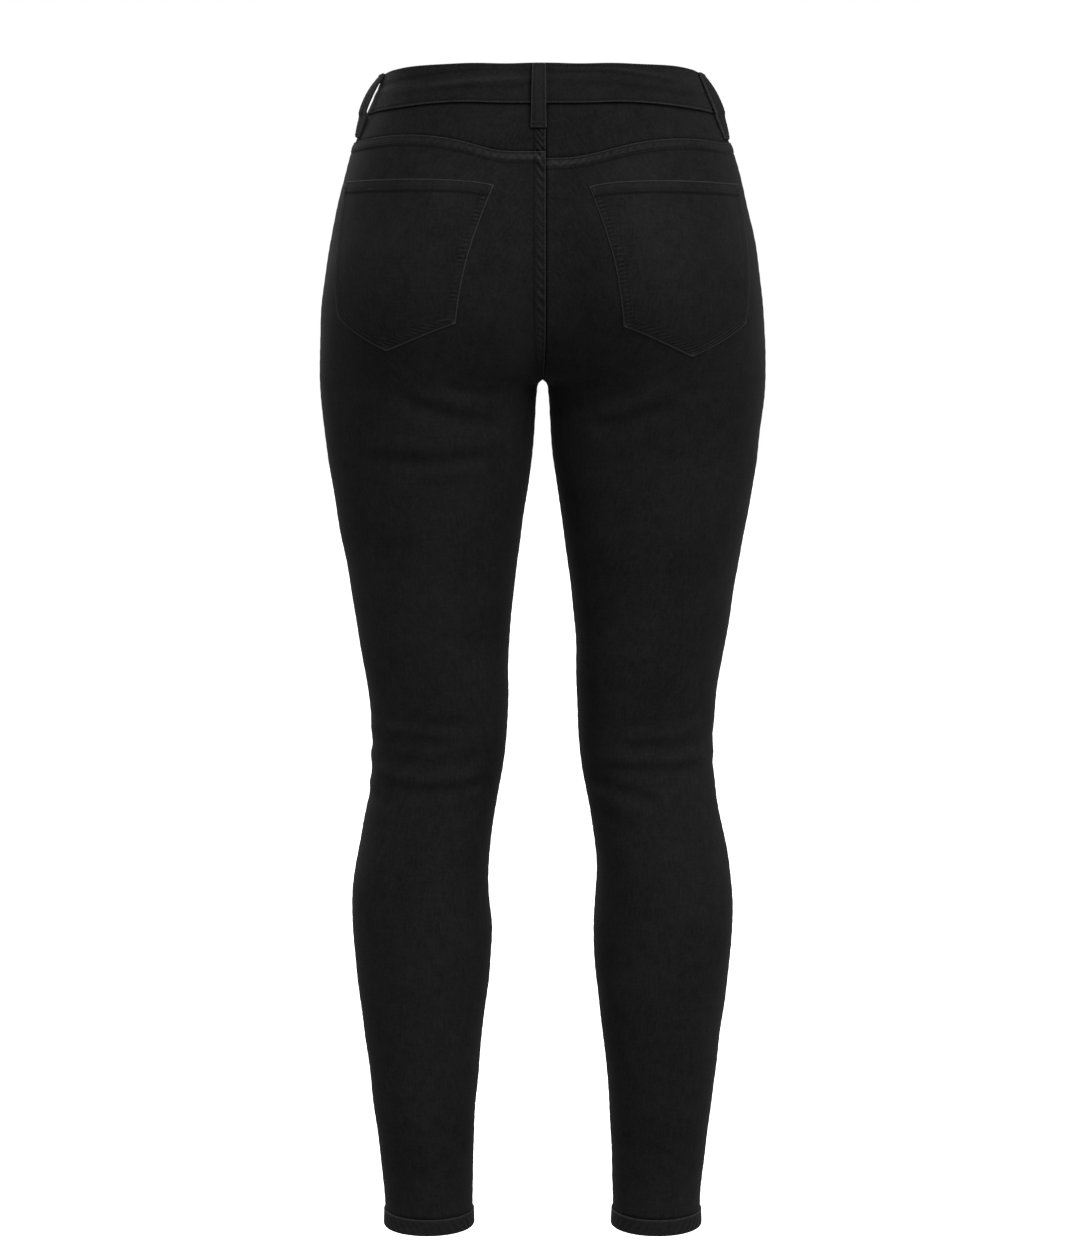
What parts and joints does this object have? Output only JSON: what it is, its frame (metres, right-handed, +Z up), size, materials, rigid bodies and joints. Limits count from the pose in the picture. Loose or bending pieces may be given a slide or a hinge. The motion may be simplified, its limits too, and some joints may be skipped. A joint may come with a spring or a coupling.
{
  "type": "skinny jeans",
  "caption": "Skinny jeans in their worn shape, hollow, with a waistband and belt loops, a back yoke, patch pockets, scoop front pockets, a lapped fly and turned hems.",
  "frame": {"origin": "centre of the waist opening, half way up the waistband at the sides, where the wearer holds the garment up", "axes": "+Z up along the body, -Y the front of the garment, +X the wearer's left"},
  "size_m": [0.3816, 0.251, 1.009],
  "materials": {
    "black_denim": "washed black stretch twill, matt with a faint sheen",
    "dark_metal": "dark plated shank button, satin"
  },
  "bodies": {
    "root": {"front_panel_left": "black_denim", "front_panel_right": "black_denim", "back_panel_left": "black_denim", "back_panel_right": "black_denim", "yoke_left": "black_denim", "yoke_right": "black_denim", "pocket_facing_left": "black_denim", "pocket_facing_right": "black_denim", "back_pocket_left": "black_denim", "back_pocket_right": "black_denim", "waistband": "black_denim", "belt_loop_back": "black_denim", "belt_loop_side_left": "black_denim", "belt_loop_side_right": "black_denim", "belt_loop_front_left": "black_denim", "belt_loop_front_right": "black_denim", "hem_left": "black_denim", "hem_right": "black_denim", "fly_shield": "black_denim", "waist_button": "dark_metal"}
  },
  "joints": []
}
